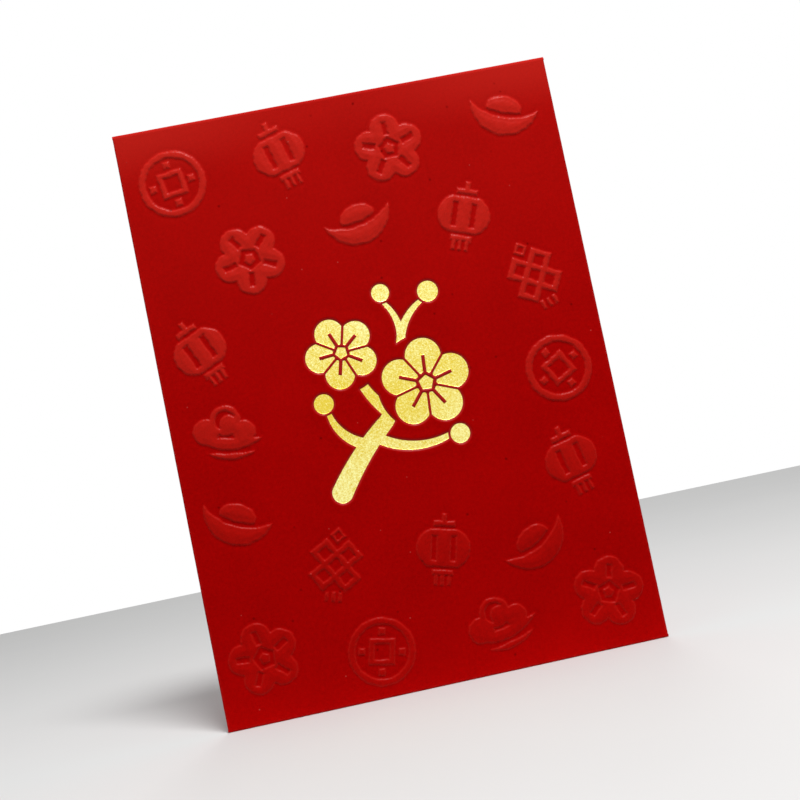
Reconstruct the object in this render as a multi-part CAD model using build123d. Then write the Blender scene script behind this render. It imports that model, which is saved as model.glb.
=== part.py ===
from build123d import *
import os

# A red envelope: one die-cut sheet, creased into panels, glued into a flat pocket and closed by a flap.
# X runs across the front, Z up its height and Y from the front to the back. The origin is the middle
# of the bottom fold, halfway through the closed stack. All lengths are millimetres.

# Envelope, folded flat
envelope_width = 85.0
envelope_height = 115.0

# Paper and adhesive
paper = 0.30
glue = 0.06
fold_gap = 0.10
flap_clearance = 0.15

# Embossed motifs on the front
relief_height = 0.35
motif_size = 14.0
motif_margin = 1.2

# Foil emblem pressed into the front
emblem_height = 40.0
foil_thickness = 0.05
foil_sink = 0.20
blossom_gap = 0.9
petal_gap = 0.5
stamen_width = 0.7

# Side tabs that carry the back panel
tab_width = 13.0
tab_end_rise = 6.0
seam_width = 5.0
seam_end_gap = 9.0

# Back panel and the mouth of the pocket
back_inset = 1.2
mouth_drop = 7.0
mouth_dip = 5.0
mouth_corner_radius = 3.0

# Closing flap
flap_length = 35.0
flap_taper = 8.0
flap_bow = 5.0
flap_corner_radius = 9.0
gum_inset = 3.5
gum_width = 6.0
gum_thickness = 0.05
gum_end_gap = 4.0

# Where each layer of the closed stack starts, from the relief in front to the flap behind
stack_depth = relief_height + paper + fold_gap + paper + glue + paper + flap_clearance + paper
front_y = -stack_depth / 2 + relief_height
tab_y = front_y + paper + fold_gap
seam_y = tab_y + paper
back_y = seam_y + glue
flap_y = back_y + paper + flap_clearance

# Outer radii of the folds, each half the thickness that it wraps
side_radius = (tab_y + paper - front_y) / 2
bottom_radius = (back_y + paper - front_y) / 2
top_radius = (flap_y + paper - front_y) / 2

# Flat part of the front between the folds
panel_width = envelope_width - 2 * side_radius
panel_bottom_z = bottom_radius
panel_top_z = envelope_height - top_radius
panel_height = panel_top_z - panel_bottom_z
panel_middle_z = (panel_bottom_z + panel_top_z) / 2

# Motifs as shares of the free field: kind, across, up, and the turn in degrees
MOTIF_PLACE_SHARES = [
    ("coin", -0.97, 0.95, 8),
    ("lantern", -0.35, 0.99, 16),
    ("blossom", 0.27, 0.93, 20),
    ("ingot", 0.95, 0.98, -20),
    ("blossom", -0.63, 0.60, 50),
    ("ingot", 0.02, 0.66, 12),
    ("lantern", 0.61, 0.61, -20),
    ("lantern", -1.00, 0.28, 24),
    ("knot", 0.94, 0.31, 18),
    ("cloud", -0.95, -0.05, -10),
    ("coin", 0.96, -0.06, 30),
    ("ingot", -0.99, -0.40, -26),
    ("lantern", 0.92, -0.42, 14),
    ("knot", -0.50, -0.65, -16),
    ("lantern", 0.11, -0.66, -14),
    ("ingot", 0.63, -0.72, 28),
    ("blossom", -0.98, -0.93, 30),
    ("coin", -0.34, -1.00, -12),
    ("cloud", 0.33, -0.99, 12),
    ("blossom", 0.97, -0.96, 5),
]

# Blossom motif, as shares of the motif size
PETAL_COUNT = 5
petal_reach_share = 0.28
petal_radius_share = 0.21
well_radius_share = 0.15
eye_radius_share = 0.085
stamen_start_share = 0.20
stamen_length_share = 0.17
stamen_width_share = 0.06

# Coin motif, as shares of the motif size
COIN_BEADS = 4
coin_radius_share = 0.46
coin_rim_share = 0.10
coin_square_share = 0.36
coin_hole_share = 0.20
coin_bead_width_share = 0.10
coin_bead_reach_share = 0.27

# Lantern motif, as shares of the motif size
lantern_half_width_share = 0.37
lantern_neck_half_width_share = 0.19
lantern_half_height_share = 0.26
lantern_groove_spacing_share = 0.26
lantern_groove_width_share = 0.06
lantern_groove_height_share = 0.32
lantern_cap_width_share = 0.30
lantern_cap_height_share = 0.08
lantern_cap_gap_share = 0.03
lantern_hook_width_share = 0.07
lantern_hook_height_share = 0.10

# Tassel below the lantern and the knot, as shares of the motif size
TASSEL_STRANDS = 3
tassel_spacing_share = 0.09
tassel_width_share = 0.055
tassel_length_share = 0.13

# Cloud motif, as shares of the motif size: lobes as across, up and radius
CLOUD_LOBE_SHARES = [(0.00, 0.16, 0.21), (-0.26, 0.01, 0.18), (0.25, 0.01, 0.16)]

# Curl in the cloud's upper lobe: its radius, and how far its inner arc moves across and up
cloud_curl_radius_share = 0.13
cloud_curl_across_share = 0.045
cloud_curl_rise_share = -0.05

# Streaming tails of the cloud: left tip, upper and lower middle, and right tip
CLOUD_TAIL_SHARES = [
    ((-0.40, -0.08), (0.04, -0.07), (0.02, -0.24), (0.50, -0.07)),
    ((-0.26, -0.27), (0.06, -0.28), (0.06, -0.37), (0.40, -0.25)),
]

# Knot motif, as shares of the motif size
knot_loop_width_share = 0.30
knot_cord_share = 0.085
knot_reach_share = 0.36
knot_rise_share = 0.04
knot_ring_width_share = 0.16
knot_ring_reach_share = 0.40
knot_tassel_reach_share = 0.36

# Ingot motif, as shares of the motif size
ingot_half_width_share = 0.48
ingot_tip_rise_share = 0.12
ingot_keel_share = -0.30
ingot_brim_share = -0.04
ingot_dome_half_width_share = 0.25
ingot_dome_half_height_share = 0.17
ingot_dome_rise_share = 0.09
ingot_groove_share = 0.05

# Foil emblem, as shares of its height: blossoms as across, up, radius and turn, and buds without a turn
FOIL_BLOSSOM_SHARES = {
    "foil_large_blossom": (0.175, -0.015, 0.215, 14),
    "foil_small_blossom": (-0.195, 0.205, 0.175, 40),
}
FOIL_BUD_SHARES = [
    (0.270, 0.415, 0.050),
    (0.045, 0.450, 0.043),
    (-0.325, -0.020, 0.047),
    (0.285, -0.285, 0.047),
]
foil_petal_reach_share = 0.60
foil_petal_radius_share = 0.40
foil_eye_radius_share = 0.17
foil_well_radius_share = 0.27
foil_stamen_end_share = 0.62
HALF_PETAL = 180 / PETAL_COUNT

# Foil branch strokes: start, middle and end points, then the half widths there
BRANCH_STROKE_SHARES = [
    ((-0.32, -0.45), (-0.19, -0.29), (-0.05, -0.16), (0.050, 0.044, 0.036)),
    ((-0.05, -0.16), (0.06, 0.03), (0.09, 0.18), (0.036, 0.030, 0.022)),
    ((0.09, 0.18), (0.14, 0.30), (0.225, 0.375), (0.022, 0.017, 0.011)),
    ((0.09, 0.18), (0.095, 0.31), (0.055, 0.395), (0.022, 0.015, 0.010)),
    ((-0.15, -0.25), (-0.26, -0.18), (-0.31, -0.075), (0.028, 0.021, 0.012)),
    ((-0.03, -0.115), (-0.12, 0.02), (-0.16, 0.15), (0.030, 0.022, 0.015)),
    ((-0.11, -0.225), (0.045, -0.295), (0.225, -0.285), (0.026, 0.021, 0.014)),
]


# Shared shapes
def plate(outline, start_y, thickness):
    """The outline, drawn across X and up Z, as a flat piece that starts at start_y and runs back."""
    back = Plane(origin=(0, start_y + thickness, 0), x_dir=(1, 0, 0), z_dir=(0, -1, 0))
    return extrude(back * outline, thickness)


def upper_half_ring(outer_radius):
    """Section of a fold one paper thick, bent through a half turn, open at the bottom."""
    ring = Circle(outer_radius) - Circle(outer_radius - paper)
    return ring & Pos(0, outer_radius / 2) * Rectangle(2 * outer_radius, outer_radius)


def across_fold(outer_radius, middle_z, turn):
    """A fold along X over the whole width, from the front face back, turned about its own axis."""
    place = Pos(front_y + outer_radius, middle_z) * Rot(0, 0, turn)
    return extrude(Plane.YZ * place * upper_half_ring(outer_radius), envelope_width / 2, both=True)


def brush_stroke(stroke, size):
    """A tapering stroke along an arc through three points, with round ends."""
    start, middle, end = [Vector(*point) * size for point in stroke[:3]]
    widths = [width * size for width in stroke[3]]
    ways = [(middle - start).normalized(), (end - start).normalized(), (end - middle).normalized()]
    sides = [Vector(-way.Y, way.X) * width for way, width in zip(ways, widths)]
    left = [point + side for point, side in zip((start, middle, end), sides)]
    right = [point - side for point, side in zip((start, middle, end), sides)]
    return make_face(
        [
            ThreePointArc(*left),
            ThreePointArc(left[-1], end + ways[-1] * widths[-1], right[-1]),
            ThreePointArc(*reversed(right)),
            ThreePointArc(right[0], start - ways[0] * widths[0], left[0]),
        ]
    )


# Embossed motifs, each drawn about its own middle
def blossom_motif(size):
    """Five round petals about a sunken well with a raised eye, and one stamen groove in each petal."""
    petal = Circle(petal_radius_share * size)
    petals = Sketch() + PolarLocations(petal_reach_share * size, PETAL_COUNT) * petal
    stamen = Rectangle(stamen_length_share * size, stamen_width_share * size)
    stamen_reach = (stamen_start_share + stamen_length_share / 2) * size
    stamens = Sketch() + PolarLocations(stamen_reach, PETAL_COUNT) * stamen
    well = RegularPolygon(well_radius_share * size, PETAL_COUNT)
    return petals - well - stamens + RegularPolygon(eye_radius_share * size, PETAL_COUNT)


def coin_motif(size):
    """A round coin's rim, the frame of its square hole and four square beads between them."""
    radius = coin_radius_share * size
    rim = Circle(radius) - Circle(radius - coin_rim_share * size)
    square = coin_square_share * size
    hole = coin_hole_share * size
    frame = Rectangle(square, square) - Rectangle(hole, hole)
    bead_width = coin_bead_width_share * size
    beads = PolarLocations(coin_bead_reach_share * size, COIN_BEADS) * Rectangle(bead_width, bead_width)
    return rim + frame + beads


def tassel(size):
    """Short strands side by side, hanging from the middle of their top edge."""
    length = tassel_length_share * size
    strand = Pos(0, -length / 2) * Rectangle(tassel_width_share * size, length)
    return Sketch() + GridLocations(tassel_spacing_share * size, 0, TASSEL_STRANDS, 1) * strand


def lantern_motif(size):
    """A bulging lantern with two grooves down it, a hook, a cap at each end and a tassel."""
    half_height = lantern_half_height_share * size
    neck_x = lantern_neck_half_width_share * size
    bulge_x = lantern_half_width_share * size
    outline = [
        ThreePointArc((neck_x, -half_height), (bulge_x, 0), (neck_x, half_height)),
        Line((neck_x, half_height), (-neck_x, half_height)),
        ThreePointArc((-neck_x, half_height), (-bulge_x, 0), (-neck_x, -half_height)),
        Line((-neck_x, -half_height), (neck_x, -half_height)),
    ]
    groove = Rectangle(lantern_groove_width_share * size, lantern_groove_height_share * size)
    grooves = Sketch() + GridLocations(lantern_groove_spacing_share * size, 0, 2, 1) * groove
    body = make_face(outline) - grooves
    cap_height = lantern_cap_height_share * size
    cap_rise = half_height + lantern_cap_gap_share * size + cap_height / 2
    cap = Rectangle(lantern_cap_width_share * size, cap_height)
    hook_height = lantern_hook_height_share * size
    hook = Rectangle(lantern_hook_width_share * size, hook_height)
    end_rise = cap_rise + cap_height / 2
    return (
        body
        + Pos(0, cap_rise) * cap
        + Pos(0, -cap_rise) * cap
        + Pos(0, end_rise + hook_height / 2) * hook
        + Pos(0, -end_rise) * tassel(size)
    )


def cloud_motif(size):
    """Three round lobes on a streaming tail, a wisp below, and a crescent groove in the upper lobe."""
    cloud = Sketch()
    for shares in CLOUD_TAIL_SHARES:
        left, upper, lower, right = [Vector(*share) * size for share in shares]
        cloud += make_face([ThreePointArc(left, upper, right), ThreePointArc(right, lower, left)])
    for across, up, radius in CLOUD_LOBE_SHARES:
        cloud += Pos(across * size, up * size) * Circle(radius * size)
    upper_across, upper_rise, _ = CLOUD_LOBE_SHARES[0]
    curl = Circle(cloud_curl_radius_share * size)
    curl -= Pos(cloud_curl_across_share * size, cloud_curl_rise_share * size) * curl
    return cloud - Pos(upper_across * size, upper_rise * size) * curl


def knot_motif(size):
    """Two long loops crossed on the diagonals, with a ring above them and a tassel below."""
    length = 2 * knot_reach_share * size
    width = knot_loop_width_share * size
    cord = knot_cord_share * size
    loop = Rectangle(length, width) - Rectangle(length - 2 * cord, width - 2 * cord)
    ring_width = knot_ring_width_share * size
    ring = Rectangle(ring_width, ring_width) - Rectangle(ring_width - cord, ring_width - cord)
    knot = (
        Rot(0, 0, 45) * loop
        + Rot(0, 0, -45) * loop
        + Pos(0, knot_ring_reach_share * size) * Rot(0, 0, 45) * ring
        + Pos(0, -knot_tassel_reach_share * size) * tassel(size)
    )
    return Pos(0, knot_rise_share * size) * knot


def ingot_motif(size):
    """A boat-shaped ingot: an upturned hull with a domed middle above its brim."""
    tip_x = ingot_half_width_share * size
    tip_z = ingot_tip_rise_share * size
    brim_z = ingot_brim_share * size
    keel = ThreePointArc((-tip_x, tip_z), (0, ingot_keel_share * size), (tip_x, tip_z))
    brim = ThreePointArc((tip_x, tip_z), (0, brim_z), (-tip_x, tip_z))
    sag = tip_z - brim_z
    brim_radius = (tip_x**2 + sag**2) / (2 * sag)
    room = Pos(0, brim_z + brim_radius) * Circle(brim_radius - ingot_groove_share * size)
    dome = Ellipse(ingot_dome_half_width_share * size, ingot_dome_half_height_share * size)
    return make_face([keel, brim]) + (Pos(0, ingot_dome_rise_share * size) * dome & room)


MOTIFS = {
    "blossom": blossom_motif,
    "coin": coin_motif,
    "lantern": lantern_motif,
    "cloud": cloud_motif,
    "knot": knot_motif,
    "ingot": ingot_motif,
}


def motif_field():
    """Every motif, turned and set out over the front, clear of the folds."""
    reach_x = (panel_width - motif_size) / 2 - motif_margin
    reach_z = (panel_height - motif_size) / 2 - motif_margin
    drawn = {kind: draw(motif_size) for kind, draw in MOTIFS.items()}
    placed = [
        Pos(across * reach_x, panel_middle_z + up * reach_z) * Rot(0, 0, turn) * drawn[kind]
        for kind, across, up, turn in MOTIF_PLACE_SHARES
    ]
    return Sketch() + placed


# Foil emblem, drawn about the middle of the front
def foil_blossom(radius, turn):
    """Five petals about a bare well, parted by bare stamens, with an eye in the middle."""
    petal = Circle(foil_petal_radius_share * radius)
    petals = Sketch() + PolarLocations(foil_petal_reach_share * radius, PETAL_COUNT) * petal
    stamen_length = foil_stamen_end_share * radius
    stamen = Pos(stamen_length / 2, 0) * Rectangle(stamen_length, stamen_width)
    stamens = Sketch() + PolarLocations(0, PETAL_COUNT) * stamen
    parting = Pos(radius / 2, 0) * Rectangle(radius, petal_gap)
    partings = Sketch() + PolarLocations(0, PETAL_COUNT, HALF_PETAL) * parting
    well = RegularPolygon(foil_well_radius_share * radius, PETAL_COUNT)
    eye = RegularPolygon(foil_eye_radius_share * radius, PETAL_COUNT)
    return Rot(0, 0, turn) * (petals - well - stamens - partings + eye)


def emblem():
    """The foil's islands by node name, as outlines on the front."""
    islands = {}
    branch = Sketch() + [brush_stroke(stroke, emblem_height) for stroke in BRANCH_STROKE_SHARES]
    for name, (across, up, radius, turn) in FOIL_BLOSSOM_SHARES.items():
        middle = Pos(across * emblem_height, up * emblem_height)
        islands[name] = middle * foil_blossom(radius * emblem_height, turn)
        branch -= middle * Circle(radius * emblem_height + blossom_gap)
    buds = Sketch()
    for across, up, radius in FOIL_BUD_SHARES:
        middle = Pos(across * emblem_height, up * emblem_height)
        buds += middle * Circle(radius * emblem_height)
        branch -= middle * Circle(radius * emblem_height + blossom_gap / 2)
    islands["foil_branch"] = branch
    islands["foil_buds"] = buds
    return {name: Pos(0, panel_middle_z) * island for name, island in islands.items()}


# Panels
def front_panel(islands):
    """The front, with its motifs raised and the emblem's islands pressed in."""
    panel = plate(Pos(0, panel_middle_z) * Rectangle(panel_width, panel_height), front_y, paper)
    panel += plate(motif_field(), front_y - relief_height, relief_height)
    for island in islands.values():
        panel -= plate(island, front_y - relief_height, relief_height + foil_sink)
    return panel


def back_panel():
    """The back, with a hollowed upper edge that leaves the mouth of the pocket open."""
    side_x = envelope_width / 2 - back_inset
    mouth_z = envelope_height - mouth_drop
    outline = make_face(
        [
            Line((-side_x, mouth_z), (-side_x, panel_bottom_z)),
            Line((-side_x, panel_bottom_z), (side_x, panel_bottom_z)),
            Line((side_x, panel_bottom_z), (side_x, mouth_z)),
            ThreePointArc((side_x, mouth_z), (0, mouth_z - mouth_dip), (-side_x, mouth_z)),
        ]
    )
    corners = outline.vertices().sort_by(Axis.Y)[-2:]
    return plate(fillet(corners, mouth_corner_radius), back_y, paper)


def side_tab_outline():
    """The left tab, wide at its fold, with sloping ends."""
    fold_x = -panel_width / 2
    free_x = fold_x + tab_width
    return make_face(
        Polyline(
            (fold_x, panel_bottom_z),
            (free_x, panel_bottom_z + tab_end_rise),
            (free_x, panel_top_z - tab_end_rise),
            (fold_x, panel_top_z),
            close=True,
        )
    )


def side_fold():
    """The left fold, which turns the front back into its tab."""
    section = Pos(-panel_width / 2, front_y + side_radius) * Rot(0, 0, 90) * upper_half_ring(side_radius)
    return extrude(Plane.XY.offset(panel_bottom_z) * section, panel_height)


def seam():
    """The left line of glue between the tab and the back panel."""
    length = panel_height - 2 * seam_end_gap
    middle_x = (-panel_width + tab_width) / 2
    return plate(Pos(middle_x, panel_middle_z) * Rectangle(seam_width, length), seam_y, glue)


# Closing flap
def flap_outline():
    """The flap hanging from its fold: tapering sides, a bowed edge and round corners."""
    root_x = envelope_width / 2
    edge_x = root_x - flap_taper
    edge_z = panel_top_z - flap_length + flap_bow
    outline = make_face(
        [
            Line((-root_x, panel_top_z), (-edge_x, edge_z)),
            ThreePointArc((-edge_x, edge_z), (0, panel_top_z - flap_length), (edge_x, edge_z)),
            Line((edge_x, edge_z), (root_x, panel_top_z)),
            Line((root_x, panel_top_z), (-root_x, panel_top_z)),
        ]
    )
    corners = outline.vertices().sort_by(Axis.Y)[:2]
    return fillet(corners, flap_corner_radius)


def gum_strip():
    """A band of dry gum on the flap's inner face, along its bowed edge."""
    length = envelope_width - 2 * (flap_taper + flap_corner_radius + gum_end_gap)
    field = Pos(0, panel_top_z - flap_length / 2) * Rectangle(length, flap_length)
    band = Pos(0, gum_inset) * flap_outline() - Pos(0, gum_inset + gum_width) * flap_outline()
    return plate(band & field, flap_y - gum_thickness, gum_thickness)


def envelope():
    """Every piece of the envelope by name."""
    islands = emblem()
    tab = plate(side_tab_outline(), tab_y, paper)
    left = {"side_tab": tab, "side_fold": side_fold(), "seam_glue": seam()}
    pieces = {
        "front_panel": front_panel(islands),
        "back_panel": back_panel(),
        "bottom_fold": across_fold(bottom_radius, panel_bottom_z, 180),
        "top_fold": across_fold(top_radius, panel_top_z, 0),
        "closure_flap": plate(flap_outline(), flap_y, paper),
        "closure_gum": gum_strip(),
    }
    for name, piece in left.items():
        pieces[f"left_{name}"] = piece
        pieces[f"right_{name}"] = mirror(piece, about=Plane.YZ)
    for name, island in islands.items():
        pieces[name] = plate(island, front_y + foil_sink - foil_thickness, foil_thickness)
    return pieces


os.makedirs("parts", exist_ok=True)
for name, piece in envelope().items():
    piece.label = name
    export_step(piece, f"parts/{name}.step")
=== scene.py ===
"""Dresses the red envelope: a pressed front, a gold-foil sprig, a glued pocket and a hinged flap."""
import logging
import math
from dataclasses import dataclass
from enum import Enum
from typing import Callable, Iterator

import bmesh
import bpy
import numpy as np
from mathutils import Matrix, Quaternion, Vector


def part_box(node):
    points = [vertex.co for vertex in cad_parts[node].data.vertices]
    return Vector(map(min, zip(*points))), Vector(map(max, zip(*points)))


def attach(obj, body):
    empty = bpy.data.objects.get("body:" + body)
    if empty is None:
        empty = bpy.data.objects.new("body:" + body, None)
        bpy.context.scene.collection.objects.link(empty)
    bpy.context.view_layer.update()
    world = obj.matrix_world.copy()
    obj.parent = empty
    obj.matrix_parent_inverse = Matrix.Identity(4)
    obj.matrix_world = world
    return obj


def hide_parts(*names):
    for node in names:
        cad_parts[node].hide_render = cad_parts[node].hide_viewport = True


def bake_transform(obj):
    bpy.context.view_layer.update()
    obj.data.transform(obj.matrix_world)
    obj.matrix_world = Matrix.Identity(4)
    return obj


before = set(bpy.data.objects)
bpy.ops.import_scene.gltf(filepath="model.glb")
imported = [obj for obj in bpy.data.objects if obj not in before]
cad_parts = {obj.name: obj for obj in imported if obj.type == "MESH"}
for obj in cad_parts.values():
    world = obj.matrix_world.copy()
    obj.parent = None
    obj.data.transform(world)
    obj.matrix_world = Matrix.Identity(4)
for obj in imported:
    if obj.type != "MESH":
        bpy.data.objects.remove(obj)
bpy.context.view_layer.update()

MM = 0.001
LOG = logging.getLogger("red_envelope")

# Millimetres within which a point is on a flat level or on a joined edge
ON_LEVEL = 0.002
ON_JOINT = 0.004

Colour = tuple[float, float, float]
Point = tuple[float, float, float]
Bend = Callable[[np.ndarray, np.ndarray], np.ndarray]


# Shader arithmetic
class Wire:
    """A node's output, ready for plain arithmetic."""

    def __init__(self, graph: "Graph", socket: bpy.types.NodeSocket | None) -> None:
        """Keeps the output and the graph that it is in."""
        self.graph = graph
        self.socket = socket

    def _math(self, operation: str, first: "Wire | float", second: "Wire | float") -> "Wire":
        """One Math node on two values."""
        return self.graph.node("ShaderNodeMath", {"operation": operation}, {0: first, 1: second})

    def __add__(self, other: "Wire | float") -> "Wire":
        """The sum."""
        return self._math("ADD", self, other)

    def __sub__(self, other: "Wire | float") -> "Wire":
        """The difference."""
        return self._math("SUBTRACT", self, other)

    def __rsub__(self, other: float) -> "Wire":
        """The difference from a number."""
        return self._math("SUBTRACT", other, self)

    def __mul__(self, other: "Wire | float") -> "Wire":
        """The product."""
        return self._math("MULTIPLY", self, other)

    def __abs__(self) -> "Wire":
        """The size without its sign."""
        return self._math("ABSOLUTE", self, 0.0)

    def __or__(self, other: "Wire | float") -> "Wire":
        """The larger of the two."""
        return self._math("MAXIMUM", self, other)

    __radd__ = __add__
    __rmul__ = __mul__
    __ror__ = __or__

    def between(self, low: float, high: float) -> "Wire":
        """0 at low and 1 at high, eased in between."""
        limits = {"Value": self, "From Min": low, "From Max": high}
        return self.graph.node("ShaderNodeMapRange", {"interpolation_type": "SMOOTHSTEP"}, limits)


class Graph:
    """The nodes of one material or of the world."""

    def __init__(self, holder: bpy.types.Material | bpy.types.World) -> None:
        """Starts with no nodes.

        Args:
            holder: What the nodes belong to.
        """
        self.holder = holder
        holder.use_nodes = True
        self.tree = holder.node_tree
        self.tree.nodes.clear()

    def node(self, kind: str, settings: dict | None = None, sockets: dict | None = None,
             output: int | str = 0) -> Wire:
        """Adds a node.

        Args:
            kind: The node's type.
            settings: Its properties, set before its sockets.
            sockets: Values or wires by the socket's number or identifier.
            output: The number or identifier of the output to return.

        Returns:
            The chosen output, or an empty wire from a node that has none.
        """
        made = self.tree.nodes.new(kind)
        for name, value in (settings or {}).items():
            setattr(made, name, value)
        for key, value in (sockets or {}).items():
            socket = self._find(made.inputs, key)
            if isinstance(value, Wire):
                self.tree.links.new(value.socket, socket)
            else:
                socket.default_value = value
        return Wire(self, self._find(made.outputs, output) if made.outputs else None)

    @staticmethod
    def _find(sockets: bpy.types.bpy_prop_collection, key: int | str) -> bpy.types.NodeSocket:
        """A socket by its number or identifier."""
        named = (socket for socket in sockets if socket.identifier == key)
        return sockets[key] if isinstance(key, int) else next(named)

    def place(self) -> Wire:
        """The point on the piece, in millimetres."""
        sockets = {"Vector": self.node("ShaderNodeTexCoord", output="Object"), "Scale": 1 / MM}
        return self.node("ShaderNodeVectorMath", {"operation": "SCALE"}, sockets)

    def axes(self, place: Wire) -> tuple[Wire, Wire, Wire]:
        """A point's three coordinates."""
        made = self.node("ShaderNodeSeparateXYZ", sockets={"Vector": place}).socket.node
        return tuple(Wire(self, socket) for socket in made.outputs)

    def noise(self, place: Wire, scale: float, detail: float = 2.0, roughness: float = 0.5) -> Wire:
        """Soft noise with features about 1 / scale across."""
        sockets = {"Vector": place, "Scale": scale, "Detail": detail, "Roughness": roughness}
        return self.node("ShaderNodeTexNoise", sockets=sockets)

    def stretched(self, place: Wire, turn: float, scale: Point) -> Wire:
        """Coordinates turned in the sheet's plane, in degrees, and then drawn out."""
        turned = self.node("ShaderNodeVectorRotate", {"rotation_type": "Y_AXIS"},
                           {"Vector": place, "Angle": math.radians(turn)})
        return self.node("ShaderNodeVectorMath", {"operation": "MULTIPLY"},
                         {"Vector": turned, "Vector_001": scale})

    def seen(self) -> Wire:
        """Tells what the camera sees, also in metal or through glass, from light on its way elsewhere.

        Returns:
            1 for what is seen and 0 for the rest.
        """
        total: Wire | float = 0.0
        for ray in ("Is Camera Ray", "Is Glossy Ray", "Is Transmission Ray"):
            total = total | self.node("ShaderNodeLightPath", output=ray)
        return total

    def attribute(self, name: str) -> Wire:
        """A value that the mesh carries, 0 where it has none."""
        return self.node("ShaderNodeAttribute", {"attribute_name": name}, output="Fac")

    def blend(self, share: Wire, first: "Wire | Colour", second: "Wire | Colour") -> Wire:
        """A colour between two others, the first at 0 and the second at 1."""
        ends = [colour if isinstance(colour, Wire) else (*colour, 1.0) for colour in (first, second)]
        return self.node("ShaderNodeMix", {"data_type": "RGBA"},
                         {"Factor_Float": share, "A_Color": ends[0], "B_Color": ends[1]}, "Result_Color")

    def bump(self, height: Wire, depth: float, strength: float) -> Wire:
        """A surface normal roughened by a height, with the depth in millimetres."""
        sockets = {"Strength": strength, "Distance": depth * MM, "Height": height}
        return self.node("ShaderNodeBump", sockets=sockets)

    def surface(self, **sockets: "Wire | float | tuple") -> bpy.types.Material:
        """Ends the material in one shader.

        Args:
            sockets: The shader's sockets, with _ for a space.

        Returns:
            The finished material.
        """
        named = {key.replace("_", " "): value for key, value in sockets.items()}
        shader = self.node("ShaderNodeBsdfPrincipled", sockets=named)
        self.node("ShaderNodeOutputMaterial", sockets={"Surface": shader})
        return self.holder


# Finishes
class Finish:
    """A material that is made once and shared by its pieces."""

    name: str

    def mix(self) -> bpy.types.Material:
        """Makes the material."""
        raise NotImplementedError

    def material(self) -> bpy.types.Material:
        """The material, made at its first use."""
        return bpy.data.materials.get(self.name) or self.mix()


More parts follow.
